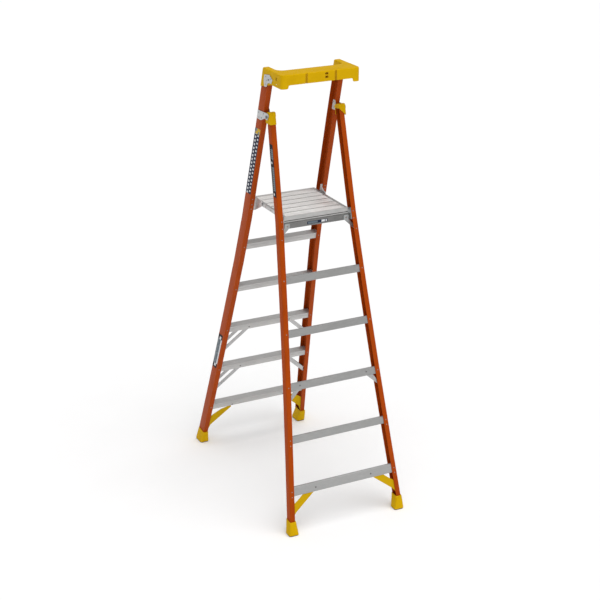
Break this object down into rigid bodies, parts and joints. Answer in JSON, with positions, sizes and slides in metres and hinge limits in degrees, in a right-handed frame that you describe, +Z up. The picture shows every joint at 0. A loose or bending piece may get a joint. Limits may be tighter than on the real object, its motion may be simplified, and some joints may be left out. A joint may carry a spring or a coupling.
{
  "type": "platform step ladder",
  "caption": "Fibreglass platform step ladder with ribbed aluminium steps, a ribbed standing platform, a folding rear frame and a moulded top guardrail.",
  "frame": {"origin": "on the floor, in the middle of the open ladder's footprint", "axes": "+Z up, +Y from the climbing side towards the rear frame, +X to the right of a person climbing"},
  "size_m": [0.774, 1.4374, 2.662],
  "materials": {
    "fibreglass_orange": "satin pultruded glass-fibre rail",
    "step_aluminium": "mill finish extrusion",
    "deck_aluminium": "mill finish ribbed extrusion",
    "zinc_steel": "zinc plated pressing",
    "moulded_yellow": "moulded, fine texture",
    "rubber_foot": "matt tread"
  },
  "bodies": {
    "climbing_frame": {"climbing_foot_pad_left": "rubber_foot", "climbing_foot_pad_right": "rubber_foot", "climbing_rail_left": "fibreglass_orange", "climbing_rail_right": "fibreglass_orange", "climbing_shoe_left": "moulded_yellow", "climbing_shoe_right": "moulded_yellow", "guardrail": "moulded_yellow", "guardrail_bracket_left": "zinc_steel", "guardrail_bracket_right": "zinc_steel", "hinge_bolt_left": "zinc_steel", "hinge_bolt_right": "zinc_steel", "hinge_plate_left": "zinc_steel", "hinge_plate_right": "zinc_steel", "platform_bracket_left": "zinc_steel", "platform_bracket_right": "zinc_steel", "step_1": "step_aluminium", "step_1_corner_brace_left": "moulded_yellow", "step_1_corner_brace_right": "moulded_yellow", "step_2": "step_aluminium", "step_2_front_strap_left": "step_aluminium", "step_2_front_strap_right": "step_aluminium", "step_2_rear_strap_left": "step_aluminium", "step_2_rear_strap_right": "step_aluminium", "step_3": "step_aluminium", "step_3_front_strap_left": "step_aluminium", "step_3_front_strap_right": "step_aluminium", "step_3_rear_strap_left": "step_aluminium", "step_3_rear_strap_right": "step_aluminium", "step_4": "step_aluminium", "step_5": "step_aluminium"},
    "rear_frame": {"horizontal_3_gusset_left": "step_aluminium", "horizontal_3_gusset_right": "step_aluminium", "horizontal_5_corner_brace_left": "moulded_yellow", "horizontal_5_corner_brace_right": "moulded_yellow", "platform_support_bar": "step_aluminium", "rear_foot_pad_left": "rubber_foot", "rear_foot_pad_right": "rubber_foot", "rear_horizontal_1": "step_aluminium", "rear_horizontal_2": "step_aluminium", "rear_horizontal_3": "step_aluminium", "rear_horizontal_4": "step_aluminium", "rear_horizontal_5": "step_aluminium", "rear_rail_cap_left": "moulded_yellow", "rear_rail_cap_right": "moulded_yellow", "rear_rail_left": "fibreglass_orange", "rear_rail_right": "fibreglass_orange", "rear_shoe_left": "moulded_yellow", "rear_shoe_right": "moulded_yellow", "support_bracket_left": "zinc_steel", "support_bracket_right": "zinc_steel", "support_strut_left": "zinc_steel", "support_strut_right": "zinc_steel"},
    "platform": {"platform_plank_1": "deck_aluminium", "platform_plank_2": "deck_aluminium", "platform_plank_3": "deck_aluminium", "platform_plank_4": "deck_aluminium", "platform_plank_5": "deck_aluminium", "platform_plank_6": "deck_aluminium", "platform_side_bar_left": "step_aluminium", "platform_side_bar_right": "step_aluminium"}
  },
  "joints": [
    {"name": "rear_frame_fold", "type": "hinge", "parent": "climbing_frame", "child": "rear_frame", "pos_m": [0, 0.1454, 2.385], "axis": [-1, 0, 0], "range_deg": [0, 26]},
    {"name": "platform_tilt", "type": "hinge", "parent": "climbing_frame", "child": "platform", "pos_m": [0, -0.024, 1.82], "axis": [1, 0, 0], "range_deg": [0, 73]}
  ]
}
